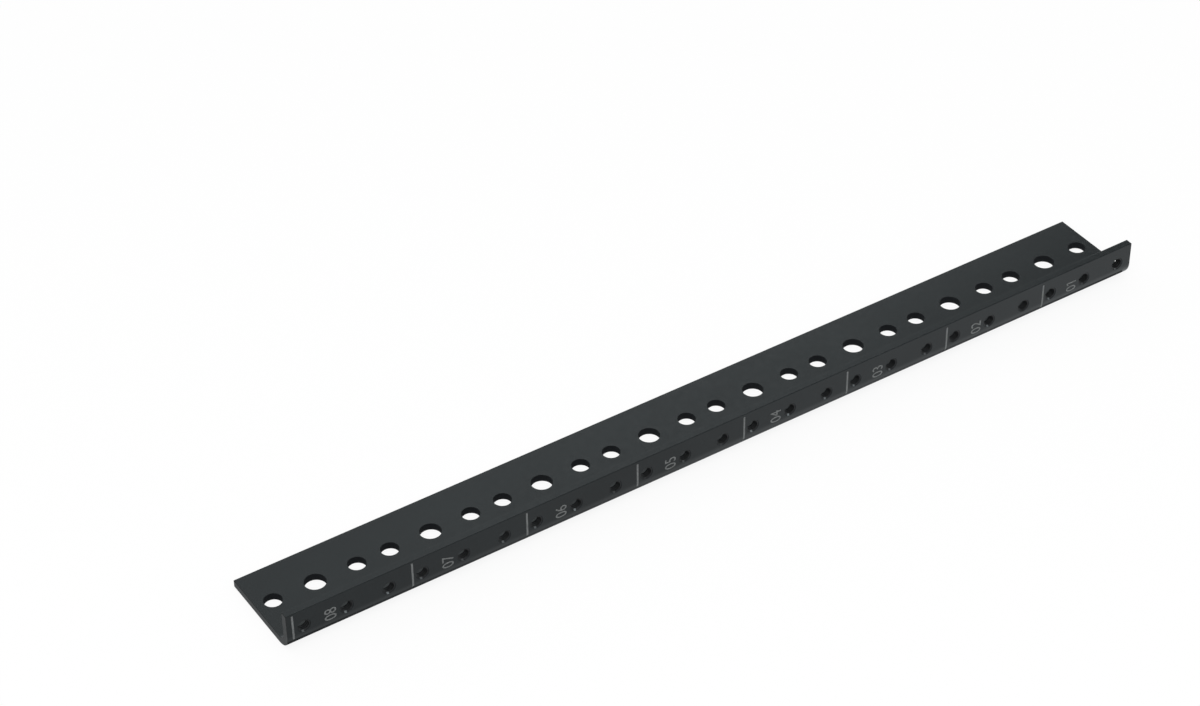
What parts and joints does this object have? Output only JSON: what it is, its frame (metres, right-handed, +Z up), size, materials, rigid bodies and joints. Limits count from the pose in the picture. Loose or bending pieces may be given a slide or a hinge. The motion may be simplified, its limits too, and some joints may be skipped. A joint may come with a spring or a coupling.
{
  "type": "rack mounting rail",
  "caption": "Right-angle steel strip for an equipment rack, with evenly pitched tapped holes in its narrow flange and plain holes in its wide flange.",
  "frame": {"origin": "middle of the footprint, on the underside of the wide flange", "axes": "+X along the rail, towards the end where the units count from one. The narrow flange stands at the -Y edge with its panel face looking along -Y. +Z up."},
  "size_m": [0.3556, 0.0382, 0.0159],
  "materials": {
    "powder_coat": "fine satin black powder coat",
    "scale_print": "pale grey printed ink"
  },
  "bodies": {
    "root": {"rack_rail": "powder_coat"}
  },
  "joints": []
}
